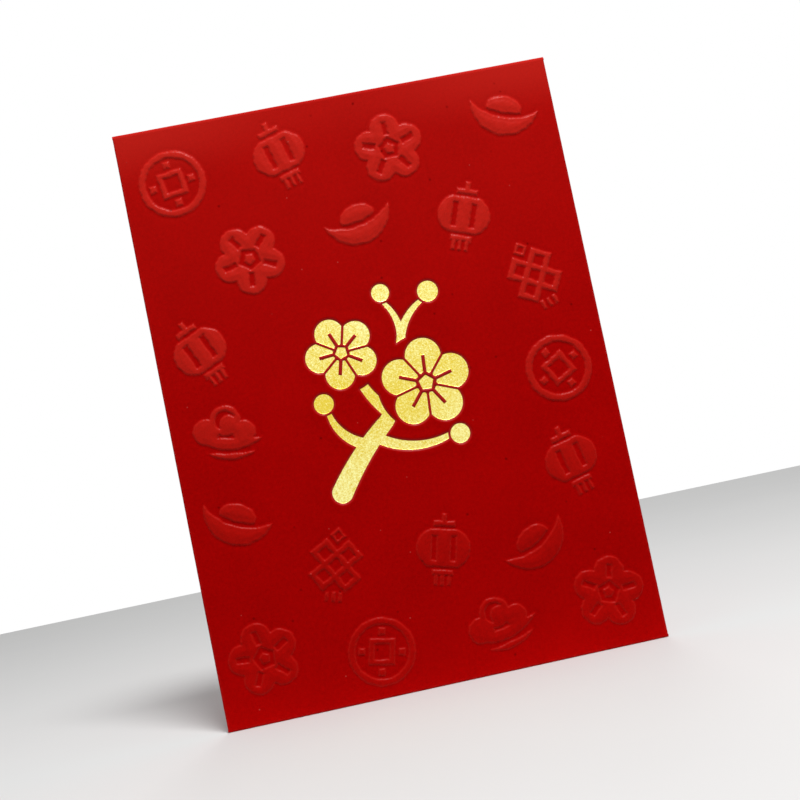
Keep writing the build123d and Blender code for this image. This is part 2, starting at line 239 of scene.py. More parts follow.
@dataclass(frozen=True)
class RedPaper(Finish):
    """Matte uncoated paper, dyed through, with fibres, specks and rubbed folds, and painted sheen along
    its head, painted highlights on its relief and painted sheen on the foil's wall.
    """

    name: str = "red_uncoated_paper"
    dark: Colour = (0.314, 0.0002, 0.0002)
    light: Colour = (0.406, 0.0005, 0.0004)
    # Painted sheen: a pale tint laid along the head and its corners.
    painted_sheen: Colour = (0.500, 0.0143, 0.0090)
    # A painted highlight tint for the raised relief and its shoulders, laid on most toward the top.
    pressed: Colour = (0.660, 0.0240, 0.0120)
    # A painted sheen tint for the wall of the foil's hollow.
    painted_wall_sheen: Colour = (0.400, 0.0240, 0.0240)
    speck: Colour = (0.500, 0.0600, 0.0500)
    fleck: Colour = (0.170, 0.0002, 0.0002)
    rubbed: Colour = (0.450, 0.0200, 0.0170)
    core: Colour = (0.420, 0.0200, 0.0170)
    roughness: float = 0.52
    gloss: float = 0.014
    coat_roughness: float = 0.30
    cloud_scale: float = 0.07
    mottle_scale: float = 1.5
    grain_scale: float = 8.0
    tooth_depth: float = 0.026
    tooth_strength: float = 0.7
    fibre_lays: tuple[Point, ...] = ((12.0, 0.45, 4.5), (74.0, 0.50, 5.0), (-41.0, 0.40, 5.5))
    fibre_width: float = 0.022
    fleck_turn: float = 33.0
    fleck_spots: Point = (0.40, 0.02, 0.16)
    speck_spots: Point = (0.42, 0.03, 0.075)
    spots_kept: tuple[float, float] = (0.84, 0.86)
    half_width: float = 42.5
    height: float = 115.0
    rub_width: float = 0.7
    rub_patches: tuple[float, float] = (0.30, 0.75)
    # Where and how strongly the relief gets its painted highlight, which grows toward the top.
    highlight_low_height: float = 15.0
    highlight_high_height: float = 85.0
    highlight_floor_share: float = 0.2
    highlight_gain: float = 1.1
    shoulder_highlight_share: float = 0.4
    # Where and how strongly the painted sheen lies along the head.
    sheen_start_height: float = 45.0
    sheen_rise_share: float = 0.17
    sheen_corner_height: float = 103.0
    sheen_corner_share: float = 0.65
    sheen_middle_share: float = 0.3
    wall_sheen_share: float = 0.4
    fleck_share: float = 0.85
    speck_share: float = 0.8
    rubbed_share: float = 0.5
    core_share: float = 0.7

    def fibres(self, graph: Graph, place: Wire) -> Wire:
        """Thin pale fibres lying in several directions.

        Args:
            graph: The material's nodes.
            place: The point on the piece.

        Returns:
            1 on a fibre and 0 beside it.
        """
        total: Wire | float = 0.0
        for turn, length, width in self.fibre_lays:
            drawn = graph.stretched(place, turn, (width, width, length))
            ridge = abs(graph.noise(drawn, 1.0, 1.0) - 0.5)
            total = total | (1.0 - ridge.between(0.0, self.fibre_width))
        return total

    def specks(self, graph: Graph, place: Wire, scale: float, core: float, rim: float) -> Wire:
        """Sparse specks, one here and there.

        Args:
            graph: The material's nodes.
            place: The point on the piece.
            scale: How close the places for a speck lie.
            core: The solid middle of a speck, as a share of that spacing.
            rim: Where it has faded away.

        Returns:
            1 on a speck and 0 beside it.
        """
        spot = graph.node("ShaderNodeTexVoronoi", {"feature": "F1"}, {"Vector": place, "Scale": scale})
        lot = Wire(graph, spot.socket.node.outputs["Color"])
        chosen = graph.node("ShaderNodeSeparateColor", sockets={"Color": lot}).between(*self.spots_kept)
        return (1.0 - spot.between(core, rim)) * chosen

    def rubbing(self, graph: Graph, place: Wire, patch: Wire) -> Wire:
        """Where the outer folds are rubbed pale.

        Args:
            graph: The material's nodes.
            place: The point on the piece.
            patch: Noise that breaks the rubbed lines up.

        Returns:
            1 where the dye is rubbed off and 0 elsewhere.
        """
        across, _, up = graph.axes(place)
        side = abs(across).between(self.half_width - self.rub_width, self.half_width)
        foot = 1.0 - up.between(0.0, self.rub_width)
        head = up.between(self.height - self.rub_width, self.height)
        return (side | foot | head) * patch.between(*self.rub_patches)

    def painted_head_sheen(self, graph: Graph, place: Wire) -> Wire:
        """How much painted sheen lies on the paper, most along the head and at its corners.

        Args:
            graph: The material's nodes.
            place: The point on the piece.

        Returns:
            The share of painted sheen.
        """
        across, _, up = graph.axes(place)
        corner = self.sheen_middle_share + abs(across).between(0.0, self.half_width) * (1.0 - self.sheen_middle_share)
        corner_sheen = up.between(self.sheen_corner_height, self.height) * corner
        return up.between(self.sheen_start_height, self.height) * self.sheen_rise_share + corner_sheen * self.sheen_corner_share

    def mix(self) -> bpy.types.Material:
        """Makes the material.

        Returns:
            The new material.
        """
        graph = Graph(bpy.data.materials.new(self.name))
        place = graph.place()
        cloud = graph.noise(place, self.cloud_scale, 2.0)
        mottle = graph.noise(place, self.mottle_scale, 4.0, 0.62)
        grain = graph.noise(place, self.grain_scale, 2.0, 0.6)
        fibre = self.fibres(graph, place)
        raised = graph.attribute("raised")
        # Painted highlight on the relief, stronger toward the top; the same share also makes the relief
        # glossier.
        highlight_height_ramp = graph.axes(place)[2].between(self.highlight_low_height, self.highlight_high_height)
        relief_highlight_share = raised * (self.highlight_floor_share + highlight_height_ramp * self.highlight_gain)
        shoulder = raised * (1.0 - raised) * 4.0
        tone = cloud + (mottle - 0.5) * 1.9 + (grain - 0.5) * 0.8 + fibre * 0.22
        wall = graph.attribute("foil_wall")
        # Painted highlight on the relief's tops and shoulders, in the pressed tint.
        painted_relief_highlight = (relief_highlight_share + shoulder * self.shoulder_highlight_share) * (0.12 + grain * 0.34)
        turned = graph.stretched(place, self.fleck_turn, (1.0, 1.0, 1.0))
        colour = graph.blend(tone, self.dark, self.light)
        for share, tint in (
            # painted sheen along the head and its corners
            (self.painted_head_sheen(graph, place), self.painted_sheen),
            # painted highlight on the relief
            (painted_relief_highlight, self.pressed),
            # painted sheen on the foil's wall
            (wall * self.wall_sheen_share, self.painted_wall_sheen),
            (self.specks(graph, turned, *self.fleck_spots) * self.fleck_share, self.fleck),
            (self.specks(graph, place, *self.speck_spots) * self.speck_share, self.speck),
            (self.rubbing(graph, place, mottle) * self.rubbed_share, self.rubbed),
            (graph.attribute("cut_edge") * self.core_share, self.core),
        ):
            colour = graph.blend(share, colour, tint)
        tooth = mottle * 0.8 + grain * 0.6 + fibre * 0.35
        return graph.surface(
            Base_Color=colour,
            Roughness=self.roughness + (mottle - 0.5) * 0.25 - relief_highlight_share * 0.06 - wall * 0.15,
            Specular_IOR_Level=self.gloss,
            Coat_Weight=relief_highlight_share * 0.08 + shoulder * 0.06 + wall * 0.11,
            Coat_Roughness=self.coat_roughness,
            Normal=graph.bump(tooth, self.tooth_depth, self.tooth_strength),
        )


@dataclass(frozen=True)
class GoldFoil(Finish):
    """Hot-stamped gold that took on the tooth of the paper under it, with a painted reflection that
    pales it toward its top and bottom.
    """

    name: str = "stamped_gold_foil"
    deep: Colour = (0.810, 0.615, 0.052)
    pale: Colour = (1.000, 0.970, 0.440)
    roughness: float = 0.34
    # Height at which the painted reflection is weakest
    middle: float = 56.0
    middle_tone: float = 0.18
    painted_reflection_paling: float = 0.015
    cloud_scale: float = 0.05
    tooth_scale: float = 2.2
    grain_scale: float = 4.5
    tooth_depth: float = 0.050
    tooth_strength: float = 0.8

    def mix(self) -> bpy.types.Material:
        """Makes the material.

        Returns:
            The new material.
        """
        graph = Graph(bpy.data.materials.new(self.name))
        place = graph.place()
        cloud = graph.noise(place, self.cloud_scale, 1.0)
        tooth = graph.noise(place, self.tooth_scale, 3.0, 0.65)
        grain = graph.noise(place, self.grain_scale, 3.0, 0.75)
        # Painted reflection: paler toward the top and the bottom of the sprig.
        ends = abs(graph.axes(place)[2] - self.middle) * self.painted_reflection_paling
        uneven = (cloud - 0.5) * 1.4 + (tooth - 0.5) * 1.6 + (grain - 0.5) * 3.4
        tone = self.middle_tone + ends + uneven
        return graph.surface(
            Base_Color=graph.blend(tone, self.deep, self.pale),
            Metallic=1.0,
            Roughness=self.roughness + (grain - 0.5) * 0.3 + (tooth - 0.5) * 0.2,
            Normal=graph.bump(tooth * 0.7 + grain, self.tooth_depth, self.tooth_strength),
        )


@dataclass(frozen=True)
class DriedGlue(Finish):
    """A clear, glossy amber film of dry gum, brushed over the red paper."""

    name: str = "dried_gum_film"
    thin: Colour = (0.270, 0.0080, 0.0040)
    thick: Colour = (0.400, 0.0900, 0.0350)
    roughness: float = 0.30
    gloss: float = 0.3
    coat: float = 0.2
    coat_roughness: float = 0.15
    brush_turn: float = 2.0
    brush_stretch: Point = (0.10, 1.3, 1.3)
    pool_scale: float = 0.35
    bubble_scale: float = 3.5
    film_depth: float = 0.03
    film_strength: float = 0.5

    def mix(self) -> bpy.types.Material:
        """Makes the material.

        Returns:
            The new material.
        """
        graph = Graph(bpy.data.materials.new(self.name))
        place = graph.place()
        streak = graph.noise(graph.stretched(place, self.brush_turn, self.brush_stretch), 1.0)
        pool = graph.noise(place, self.pool_scale, 3.0, 0.55)
        bubble = graph.noise(place, self.bubble_scale)
        tone = 0.45 + (streak - 0.5) * 0.9 + (pool - 0.5) * 1.8 + (bubble - 0.5) * 0.4
        return graph.surface(
            Base_Color=graph.blend(tone, self.thin, self.thick),
            Roughness=self.roughness + (pool - 0.5) * 0.25 + (bubble - 0.5) * 0.15,
            Specular_IOR_Level=self.gloss,
            Coat_Weight=self.coat,
            Coat_Roughness=self.coat_roughness,
            Normal=graph.bump(streak + pool + bubble * 0.4, self.film_depth, self.film_strength),
        )


@dataclass(frozen=True)
class PaleFloor(Finish):
    """A plain pale floor."""

    name: str = "pale_floor"
    pale: Colour = (0.680, 0.680, 0.676)
    shade: Colour = (0.662, 0.662, 0.658)
    bounce: Colour = (0.390, 0.390, 0.387)
    foot_bounce: Colour = (0.960, 0.960, 0.955)
    foot_reach: float = 15.0
    cloud_scale: float = 0.02
    roughness: float = 0.7

    def mix(self) -> bpy.types.Material:
        """Makes the material, which looks pale and throws its light back near the envelope's foot.

        Returns:
            The new material.
        """
        graph = Graph(bpy.data.materials.new(self.name))
        place = graph.place()
        pale = graph.blend(graph.noise(place, self.cloud_scale, 3.0), self.shade, self.pale)
        away = abs(graph.axes(place)[1]).between(0.0, self.foot_reach)
        bounce = graph.blend(away, self.foot_bounce, self.bounce)
        return graph.surface(
            Base_Color=graph.blend(graph.seen(), bounce, pale),
            Roughness=self.roughness,
            Specular_IOR_Level=0.0,
        )


PAPER = RedPaper()
FOIL = GoldFoil()
GLUE = DriedGlue()


# Shared mesh work
def ripple(across: np.ndarray, up: np.ndarray, length: float, phase: float) -> np.ndarray:
    """A slow irregular wave over a surface.

    Args:
        across: First coordinate of each point.
        up: Second coordinate of each point.
        length: The longest wave.
        phase: A number that makes this wave differ from others.

    Returns:
        Values from about -1 to 1.
    """
    turn, quickening, shift, whole = 2.4, 0.8, 3.1, 1.5
    total = np.zeros_like(across, dtype=float)
    for order in (1, 2, 3):
        angle = phase + turn * order
        run = across * math.cos(angle) + up * math.sin(angle)
        total += np.sin(run * 2 * math.pi * order**quickening / length + shift * order * phase) / order
    return total / whole


def eased(value: np.ndarray, low: float, high: float) -> np.ndarray:
    """0 at low and 1 at high, eased in between."""
    share = np.clip((value - low) / (high - low), 0.0, 1.0)
    return share * share * (3 - 2 * share)


def node_box(node: str) -> tuple[np.ndarray, np.ndarray]:
    """A node's lowest and highest corner, in millimetres."""
    low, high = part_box(node)
    return np.array(low) / MM, np.array(high) / MM


@dataclass
class Piece:
    """One piece of the envelope and where it belongs."""

    name: str
    node: str
    body: str
    slot: str
    finish: Finish
    smooth_angle: float = 15.0

    def place(self, mesh: bpy.types.Mesh, rides: bool = True) -> bpy.types.Object:
        """Puts a mesh into the scene in its node's stead.

        Args:
            mesh: The piece's mesh, in the shared frame.
            rides: Whether the piece moves rigidly with its body.

        Returns:
            The new object.
        """
        mesh.shade_smooth()
        mesh.set_sharp_from_angle(angle=math.radians(self.smooth_angle))
        mesh.materials.clear()
        mesh.materials.append(self.finish.material())
        made = bpy.data.objects.new(self.name, mesh)
        bpy.context.scene.collection.objects.link(made)
        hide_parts(self.node)
        if rides:
            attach(made, self.body)
        LOG.info("%s: %d faces", self.name, len(mesh.polygons))
        return made


@dataclass
class CutSheet(Piece):
    """A flat cut piece with softened edges and a little spring in it."""

    edge_radius: float = 0.07
    cell: float = 2.0
    joined: tuple[tuple[int, float], ...] = ()
    play: float = 0.0
    bend: Bend | None = None
    flat_angle: float = 1.0
    rim_angle: float = 50.0
    rim_segments: int = 2
    cut_slope: float = 0.8
    weld: float = 1e-7
    cut_width: float = 1e-8

    @staticmethod
    def _on(vertex: bmesh.types.BMVert, axis: int, value: float) -> bool:
        """Whether a vertex is on a joined edge."""
        return abs(vertex.co[axis] / MM - value) < ON_JOINT

    def _is_rim(self, edge: bmesh.types.BMEdge) -> bool:
        """Whether an edge is a cut one, and not where the sheet goes on into a fold."""
        sharp = len(edge.link_faces) == 2 and edge.calc_face_angle(0.0) >= math.radians(self.rim_angle)
        return sharp and not any(all(self._on(vertex, *joint) for vertex in edge.verts)
                                 for joint in self.joined)

    def _draw_back(self, shape: bmesh.types.BMesh) -> None:
        """Draws the joined edges back a hair, so that they turn clear of their neighbours.

        Args:
            shape: The piece's mesh.
        """
        low, high = node_box(self.node)
        for axis, value in self.joined:
            inward = math.copysign(self.play, (low[axis] + high[axis]) / 2 - value)
            for vertex in shape.verts:
                if self._on(vertex, axis, value):
                    vertex.co[axis] += inward * MM

    def _shape_rims(self, shape: bmesh.types.BMesh) -> None:
        """Rounds the cut edges."""
        rims = [edge for edge in shape.edges if self._is_rim(edge)]
        bmesh.ops.bevel(shape, geom=rims, offset=self.edge_radius * MM, offset_type="OFFSET",
                        segments=self.rim_segments, profile=0.5, affect="EDGES", clamp_overlap=True)

    def _divide(self, shape: bmesh.types.BMesh) -> None:
        """Cuts the faces along a grid, so that the sheet can bend.

        Args:
            shape: The piece's mesh.
        """
        low, high = node_box(self.node)
        for axis in (0, 2):
            count = max(1, round((high[axis] - low[axis]) / self.cell))
            for step in range(1, count):
                point, normal = Vector((0, 0, 0)), Vector((0, 0, 0))
                point[axis] = (low[axis] + (high[axis] - low[axis]) * step / count) * MM
                normal[axis] = 1.0
                every = shape.verts[:] + shape.edges[:] + shape.faces[:]
                bmesh.ops.bisect_plane(shape, geom=every, dist=self.cut_width, plane_co=point,
                                       plane_no=normal)

    def build(self) -> bpy.types.Object:
        """Makes the piece from its node's outline.

        Returns:
            The new object.
        """
        shape = bmesh.new()
        shape.from_mesh(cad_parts[self.node].data)
        bmesh.ops.remove_doubles(shape, verts=shape.verts, dist=self.weld)
        bmesh.ops.dissolve_limit(shape, angle_limit=math.radians(self.flat_angle), verts=shape.verts[:],
                                 edges=shape.edges[:])
        self._shape_rims(shape)
        bmesh.ops.triangulate(shape, faces=shape.faces[:])
        self._divide(shape)
        self._draw_back(shape)
        shape.normal_update()
        cut = [1.0 if abs(face.normal.y) < self.cut_slope else 0.0 for face in shape.faces]
        mesh = bpy.data.meshes.new(self.name)
        shape.to_mesh(mesh)
        shape.free()
        for shading in ("custom_normal", "sharp_edge"):
            if shading in mesh.attributes:
                mesh.attributes.remove(mesh.attributes[shading])
        mesh.attributes.new("cut_edge", "FLOAT", "FACE").data.foreach_set("value", cut)
        if self.bend is not None:
            points = np.empty(len(mesh.vertices) * 3, np.float32)
            mesh.vertices.foreach_get("co", points)
            points = points.reshape(-1, 3)
            points[:, 1] += self.bend(points[:, 0] / MM, points[:, 2] / MM) * MM
            mesh.vertices.foreach_set("co", points.ravel())
            mesh.update()
        return self.place(mesh)


class FoldSide(Enum):
    """An edge of the envelope: the axis its fold bulges along, the sense, and the axis it runs along."""

    LEFT = (0, -1, 2)
    RIGHT = (0, 1, 2)
    BOTTOM = (2, -1, 0)
    TOP = (2, 1, 0)


@dataclass
class EdgeFold(Piece):
    """A pressed half-round fold, where the sheet turns back on itself."""

    side: FoldSide = FoldSide.LEFT
    paper: float = 0.30
    arc_steps: int = 16
    run_step: float = 0.5
    unevenness: float = 0.02
    steady_share: float = 0.6
    long_wave: float = 7.0
    short_wave: float = 1.7
    short_share: float = 0.25

    def build(self, rides: bool = True) -> bpy.types.Object:
        """Makes the fold as a closed half ring.

        Args:
            rides: Whether the fold moves rigidly with its body.

        Returns:
            The new object.
        """
        out, sense, along = self.side.value
        low, high = node_box(self.node)
        middle = (low[1] + high[1]) / 2
        outer = (high[1] - low[1]) / 2
        root = low[out] if sense > 0 else high[out]
        steps = round((high[along] - low[along]) / self.run_step)
        runs = np.linspace(low[along], high[along], steps + 1)
        angles = np.linspace(-math.pi / 2, math.pi / 2, self.arc_steps + 1)
        run, angle = np.meshgrid(runs, angles, indexing="ij")
        phase = 0.7 * out + 1.3 * sense
        uneven = ripple(run, angle * 1.5, self.long_wave, phase)
        uneven += self.short_share * ripple(run, angle, self.short_wave, phase + 1.0)
        worn = self.steady_share + (1 - self.steady_share) * uneven
        worn = self.unevenness * np.cos(angle) ** 2 * worn
        points = []
        for radius in (outer - worn, np.full_like(angle, outer - self.paper)):
            skin = np.empty((*run.shape, 3))
            skin[..., along] = run
            skin[..., 1] = middle + radius * np.sin(angle)
            skin[..., out] = root + sense * radius * np.cos(angle)
            points.append(skin.reshape(-1, 3))
        mesh = bpy.data.meshes.new(self.name)
        mesh.from_pydata((np.concatenate(points) * MM).tolist(), [], list(self._faces(*run.shape)))
        mesh.update()
        shape = bmesh.new()
        shape.from_mesh(mesh)
        bmesh.ops.recalc_face_normals(shape, faces=shape.faces)
        shape.to_mesh(mesh)
        shape.free()
        return self.place(mesh, rides)

    def _faces(self, rows: int, columns: int) -> Iterator[tuple[int, ...]]:
        """The quads of the outer and inner skin, the two ends and the two joined edges.

        Args:
            rows: Points along the fold.
            columns: Points round it.

        Yields:
            One quad at a time.
        """
        inner = rows * columns
        for row in range(rows - 1):
            for column in range(columns - 1):
                first = row * columns + column
                quad = (first, first + 1, first + columns + 1, first + columns)
                yield quad
                yield tuple(inner + corner for corner in reversed(quad))
            for first in (row * columns, row * columns + columns - 1):
                yield (first, first + columns, inner + first + columns, inner + first)
        for row in (0, rows - 1):
            for column in range(columns - 1):
                first = row * columns + column
                yield (first, first + 1, inner + first + 1, inner + first)


# Sub-assemblies
@dataclass
class PressedFront(Piece):
    """The front of the sheet: motifs pressed up from behind, and a hollow pressed in for the foil."""

    name: str = "pressed_front"
    node: str = "front_panel"
    body: str = "pocket"
    slot: str = "red_paper"
    finish: Finish = PAPER
    smooth_angle: float = 50.0
    foil_node: str = "foil_branch"
    fold_node: str = "left_side_fold"
    cell: float = 0.8
    cell_samples: int = 16
    splits: tuple[float, ...] = (0.005, 0.016, 0.040, 0.050)
    reach_limit: float = 2.2
    shoulder_out: float = 0.14
    shoulder_in: float = 0.40
    crown_width: float = 1.1
    crown: float = 0.32
    moat: float = 0.03
    moat_reach: float = 0.9
    moat_middle: float = 0.35
    foil_wall: float = 0.46
    wall_round: float = 1.1
    swell: float = 0.065
    foil_rim: float = 0.035
    foil_bed: float = 0.03
    bed_edge: tuple[float, float] = (-0.05, 0.06)
    wall_sheen_reach: float = 0.1
    wander: float = 0.07
    wander_long: tuple[float, float] = (3.1, 0.3)
    wander_short: tuple[float, float] = (1.3, 1.9)
    short_share: float = 0.6
    lumps: float = 0.020
    lump_wave: tuple[float, float] = (1.9, 4.2)
    wave: float = 0.035
    sheet_wave: tuple[float, float] = (46.0, 0.4)
    still_border: float = 12.0
    hollow: float = 0.7

    def __post_init__(self) -> None:
        """Lays the lattice over the panel and reads the levels that the solids give."""
        self.low, self.high = node_box(self.node)
        self.face = node_box(self.fold_node)[0][1]
        self.relief = self.face - self.low[1]
        self.floor_depth = node_box(self.foil_node)[1][1] - self.face
        self.edge_depth = self.floor_depth - self.foil_rim
        self.columns = round((self.high[0] - self.low[0]) / self.cell)
        self.rows = round((self.high[2] - self.low[2]) / self.cell)
        self.across = np.linspace(self.low[0], self.high[0], self.columns * self.cell_samples + 1)
        self.up = np.linspace(self.low[2], self.high[2], self.rows * self.cell_samples + 1)
        self.sample = self.across[1] - self.across[0]

    def _outline(self, level: float) -> np.ndarray:
        """Marks the samples that the node's flat faces at one level cover.

        Args:
            level: The faces' depth, in millimetres.

        Returns:
            True where a sample is on such a face.
        """
        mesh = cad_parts[self.node].data
        mesh.calc_loop_triangles()
        points = np.array([vertex.co for vertex in mesh.vertices]) / MM
        corners = points[np.array([triangle.vertices for triangle in mesh.loop_triangles])]
        flat = corners[np.all(np.abs(corners[..., 1] - level) < ON_LEVEL, axis=1)]
        scale = np.array([1 / self.sample, 1 / (self.up[1] - self.up[0])])
        marked = np.zeros((len(self.up), len(self.across)), bool)
        limit = np.array(marked.shape[::-1]) - 1
        for triangle in (flat[..., [0, 2]] - self.low[[0, 2]]) * scale:
            first = np.clip(np.floor(triangle.min(0)), 0, limit).astype(int)
            last = np.clip(np.ceil(triangle.max(0)), 0, limit).astype(int)
            x, z = np.meshgrid(np.arange(first[0], last[0] + 1), np.arange(first[1], last[1] + 1))
            sides = []
            for start, end in zip(triangle, np.roll(triangle, -1, axis=0)):
                sides.append((end[0] - start[0]) * (z - start[1]) - (end[1] - start[1]) * (x - start[0]))
            inside = np.all(np.array(sides) >= -1e-6, axis=0) | np.all(np.array(sides) <= 1e-6, axis=0)
            marked[first[1]:last[1] + 1, first[0]:last[0] + 1] |= inside
        return marked

    def _reach(self, marked: np.ndarray) -> np.ndarray:
        """Distance from each sample to the nearest marked one, up to a limit.

        Args:
            marked: The samples to reach.

        Returns:
            The distance, in samples.
        """
        limit = math.ceil(self.reach_limit / self.sample)
        gap = np.where(marked, 0.0, limit + 1.0).astype(np.float32)
        for row in range(1, len(gap)):
            gap[row] = np.minimum(gap[row], gap[row - 1] + 1)
        for row in range(len(gap) - 2, -1, -1):
            gap[row] = np.minimum(gap[row], gap[row + 1] + 1)
        square = gap * gap
        best = square.copy()
        for shift in range(1, limit + 1):
            best[:, shift:] = np.minimum(best[:, shift:], square[:, :-shift] + shift * shift)
            best[:, :-shift] = np.minimum(best[:, :-shift], square[:, shift:] + shift * shift)
        return np.sqrt(best)

    def _inside(self, level: float) -> np.ndarray:
        """Signed distance from the outline of the flat faces at one level.

        Args:
            level: The faces' depth, in millimetres.

        Returns:
            The distance in millimetres, positive inside the outline.
        """
        marked = self._outline(level)
        signed = np.where(marked, self._reach(~marked) - 0.5, 0.5 - self._reach(marked)) * self.sample
        for axis in (0, 1):
            padded = np.pad(signed, [(2, 2) if axis == side else (0, 0) for side in (0, 1)], mode="edge")
            count = signed.shape[axis]
            parts = [np.take(padded, range(shift, shift + count), axis=axis) for shift in range(5)]
            signed = (parts[0] + 4 * parts[1] + 6 * parts[2] + 4 * parts[3] + parts[4]) / 16
        return signed

    def sway(self, across: np.ndarray, up: np.ndarray) -> np.ndarray:
        """How far the whole sheet bows out of flat, nothing at its folds.

        Args:
            across: Places across the sheet, in millimetres.
            up: Places up it.

        Returns:
            The bow at each place, in millimetres.
        """
        side = np.minimum(across - self.low[0], self.high[0] - across)
        border = np.minimum(side, np.minimum(up - self.low[2], self.high[2] - up))
        return self.wave * ripple(across, up, *self.sheet_wave) * eased(border, 0.0, self.still_border)

    def _lift(self) -> tuple[np.ndarray, np.ndarray, np.ndarray]:
        """How far each sample stands out of the flat face.

        Returns:
            The lift in millimetres, the share of full relief, and where the foil's wall is.
        """
        x, z = np.meshgrid(self.across, self.up)
        motif = self._inside(self.low[1])
        uneven = ripple(x, z, *self.wander_long) + self.short_share * ripple(x, z, *self.wander_short)
        motif += self.wander * uneven
        raised = eased(motif, -self.shoulder_out, self.shoulder_in)
        domed = eased(motif, self.shoulder_in, self.shoulder_in + self.crown_width)
        crown = 1 - self.crown * (1 - domed)
        moat = self.moat * eased(motif, -self.moat_reach, -self.moat_middle)
        moat *= 1 - eased(motif, -self.moat_middle, 0.0)
        foil = self._inside(self.face + self.floor_depth)
        wall = np.clip(1 + foil / self.foil_wall, 0.0, 1.0) ** self.wall_round
        bed = eased(foil, *self.bed_edge)
        sunk = (self.edge_depth + self.swell) * wall + (self.foil_rim + self.foil_bed) * bed
        sunk -= self.swell * eased(foil, -self.reach_limit, -self.foil_wall)
        lumps = self.lumps * raised * ripple(x, z, *self.lump_wave)
        lift = self.relief * raised * crown - moat - sunk + self.sway(x, z) + lumps
        # The foil's wall, which the paper's material tints with a painted sheen.
        rubbed = eased(foil, -self.foil_wall, -0.5 * self.foil_wall)
        rubbed *= 1 - eased(foil, 0.0, self.wall_sheen_reach)
        return lift, raised, rubbed

    def _leaves(self, lift: np.ndarray) -> list[np.ndarray]:
        """Splits the lattice where the surface is steep.

        Args:
            lift: The surface's lift at each sample.

        Returns:
            For each size of cell, from the largest, each cell's row and column in steps of the smallest.
        """
        alive = np.ones((self.rows, self.columns), bool)
        finest = len(self.splits)
        levels = []
        for level in range(finest + 1):
            side = self.cell_samples >> level
            blocks = lift[:-1, :-1].reshape(alive.shape[0], side, alive.shape[1], side)
            spread = blocks.max(axis=(1, 3)) - blocks.min(axis=(1, 3))
            split = alive & (spread > self.splits[level]) if level < finest else np.zeros_like(alive)
            levels.append(np.argwhere(alive & ~split) << (finest - level))
            alive = np.repeat(np.repeat(split, 2, axis=0), 2, axis=1)
        return levels

    def build(self) -> bpy.types.Object:
        """Makes the front as one closed sheet, fine at the shoulders and coarse on the flat.

        Returns:
            The new object.
        """
        lift, raised, wall = self._lift()
        levels = self._leaves(lift)
        finest = len(self.splits)
        step = self.cell_samples >> finest
        coarse = 1 << finest
        used = np.zeros((self.rows * coarse + 1, self.columns * coarse + 1), bool)
        for level, cells in enumerate(levels):
            side = coarse >> level
            for row, column in ((0, 0), (0, side), (side, 0), (side, side)):
                used[cells[:, 0] + row, cells[:, 1] + column] = True
        index = np.full(used.shape, -1)
        index[used] = np.arange(used.sum())
        rows, columns = np.nonzero(used)
        picks = (rows * step, columns * step)
        front = np.stack([self.across[picks[1]], self.face - lift[picks], self.up[picks[0]]], axis=1)
        faces = []
        for level, cells in enumerate(levels):
            side = coarse >> level
            for row, column in cells.tolist():
                ring = [*index[row, column:column + side], *index[row:row + side, column + side],
                        *index[row + side, column + side:column:-1], *index[row + side:row:-1, column]]
                faces.append([int(corner) for corner in ring if corner >= 0])
        back, back_faces = self._back(lift, index, coarse, len(front))
        mesh = bpy.data.meshes.new(self.name)
        mesh.from_pydata((np.concatenate([front, back]) * MM).tolist(), [], faces + back_faces)
        mesh.update()
        for name, values in (("raised", raised), ("foil_wall", wall)):
            carried = np.concatenate([values[picks], np.zeros(len(back))]).astype(np.float32)
            mesh.attributes.new(name, "FLOAT", "POINT").data.foreach_set("value", carried)
        return self.place(mesh)

    def _back(self, lift: np.ndarray, index: np.ndarray, coarse: int,
              start: int) -> tuple[np.ndarray, list[list[int]]]:
        """The hollow back of the pressed sheet and the rim that joins it to the front.

        Args:
            lift: The front's lift at each sample.
            index: The front's vertices by lattice place, -1 where there is none.
            coarse: Lattice steps in a coarse cell.
            start: The number of the back's first vertex.

        Returns:
            The back's points and all its faces.
        """
        side = self.cell_samples
        means = lift[:-1, :-1].reshape(self.rows, side, self.columns, side).mean(axis=(1, 3))
        pressed = np.zeros((self.rows + 1, self.columns + 1))
        pressed[1:-1, 1:-1] = (means[:-1, :-1] + means[1:, :-1] + means[:-1, 1:] + means[1:, 1:]) / 4
        x, z = np.meshgrid(self.across[::side], self.up[::side])
        points = np.stack([x, self.high[1] - self.hollow * pressed, z], axis=2).reshape(-1, 3)
        number = start + np.arange(pressed.size).reshape(pressed.shape)
        corners = (number[:-1, :-1], number[1:, :-1], number[1:, 1:], number[:-1, 1:])
        faces = np.stack(corners, axis=2).reshape(-1, 4).tolist()
        rims = ((index[0], number[0], 1), (index[:, -1], number[:, -1], 1),
                (index[-1], number[-1], -1), (index[:, 0], number[:, 0], -1))
        for outer, inner, sense in rims:
            for cell in range(len(inner) - 1):
                run = [corner for corner in outer[cell * coarse:(cell + 1) * coarse + 1] if corner >= 0]
                ring = [inner[cell], inner[cell + 1], *reversed(run)]
                faces.append(ring if sense > 0 else ring[::-1])
        return points, [[int(corner) for corner in face] for face in faces]


